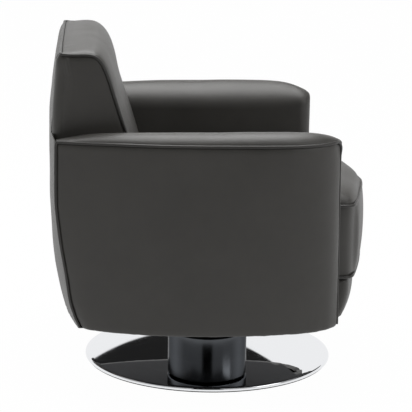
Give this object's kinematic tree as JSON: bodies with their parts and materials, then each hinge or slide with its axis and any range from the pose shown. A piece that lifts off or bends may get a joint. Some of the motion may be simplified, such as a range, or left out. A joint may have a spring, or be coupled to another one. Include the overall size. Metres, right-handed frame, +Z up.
{
  "type": "swivel club chair",
  "caption": "Low upholstered club chair with bowed arms, leaning back and loose boxed cushion, turning on a short two-part drum over a flat round chrome base",
  "frame": {"origin": "On the floor, where the swivel axis meets it, under the middle of the round base", "axes": "+Z up along the swivel axis, -Y the way the sitter faces, +X the sitter's left"},
  "size_m": [0.798, 0.7149, 0.755],
  "materials": {
    "leather": "smooth charcoal faux leather, low sheen",
    "welt_leather": "charcoal faux leather cord",
    "foam": "polyurethane foam, plain",
    "chrome": "mirror polish",
    "rubber": "matte black",
    "black_plastic": "matte black",
    "black_steel": "satin black paint",
    "steel": "zinc plated",
    "timber": "plain sawn",
    "webbing": "woven elastic webbing",
    "dust_cloth": "black non-woven cloth"
  },
  "bodies": {
    "base": {"floor_ring": "rubber", "base_disc": "chrome", "base_bolt": "steel", "column_tube": "black_steel", "column_plug": "black_steel", "column_cap": "black_steel", "foot_cover": "black_steel", "spindle_bushes": "black_plastic", "lower_race": "steel"},
    "ball_cage": {"bearing_cage": "steel", "bearing_balls": "steel"},
    "seat": {"apron_cover": "leather", "apron_foam": "foam", "arm_bolts": "steel", "back_cover": "leather", "back_foam": "foam", "back_rails": "timber", "back_webbing": "webbing", "back_welt": "welt_leather", "circlip": "steel", "corner_blocks": "timber", "cross_rails": "timber", "cushion_cover": "leather", "cushion_foam": "foam", "cushion_welts": "welt_leather", "cushion_zip": "black_plastic", "deck_cover": "dust_cloth", "drum_cover": "black_steel", "dust_cover": "dust_cloth", "front_rail": "timber", "left_arm_bottom_rail": "timber", "left_arm_foam": "foam", "left_arm_inner_board": "timber", "left_arm_inner_cover": "leather", "left_arm_outer_cover": "leather", "left_arm_posts": "timber", "left_arm_top_rail": "timber", "left_arm_welt": "welt_leather", "left_back_post": "timber", "left_back_side_cover": "leather", "outside_back_cover": "leather", "plate_bolts": "steel", "rear_rail": "timber", "right_arm_bottom_rail": "timber", "right_arm_foam": "foam", "right_arm_inner_board": "timber", "right_arm_inner_cover": "leather", "right_arm_outer_cover": "leather", "right_arm_posts": "timber", "right_arm_top_rail": "timber", "right_arm_welt": "welt_leather", "right_back_post": "timber", "right_back_side_cover": "leather", "seat_webbing": "webbing", "side_rails": "timber", "spindle": "steel", "spindle_washer": "steel", "swivel_plate": "black_steel", "tee_nuts": "steel", "upper_race": "steel"}
  },
  "joints": [
    {"name": "swivel", "type": "hinge", "parent": "base", "child": "seat", "pos_m": [0, 0, 0.15], "axis": [0, 0, 1], "continuous": true},
    {"name": "cage_roll", "type": "hinge", "parent": "base", "child": "ball_cage", "pos_m": [0, 0, 0.15], "axis": [0, 0, 1], "continuous": true}
  ],
  "couplings": [
    {"joint": "cage_roll", "follows": "swivel", "ratio": 0.5}
  ]
}
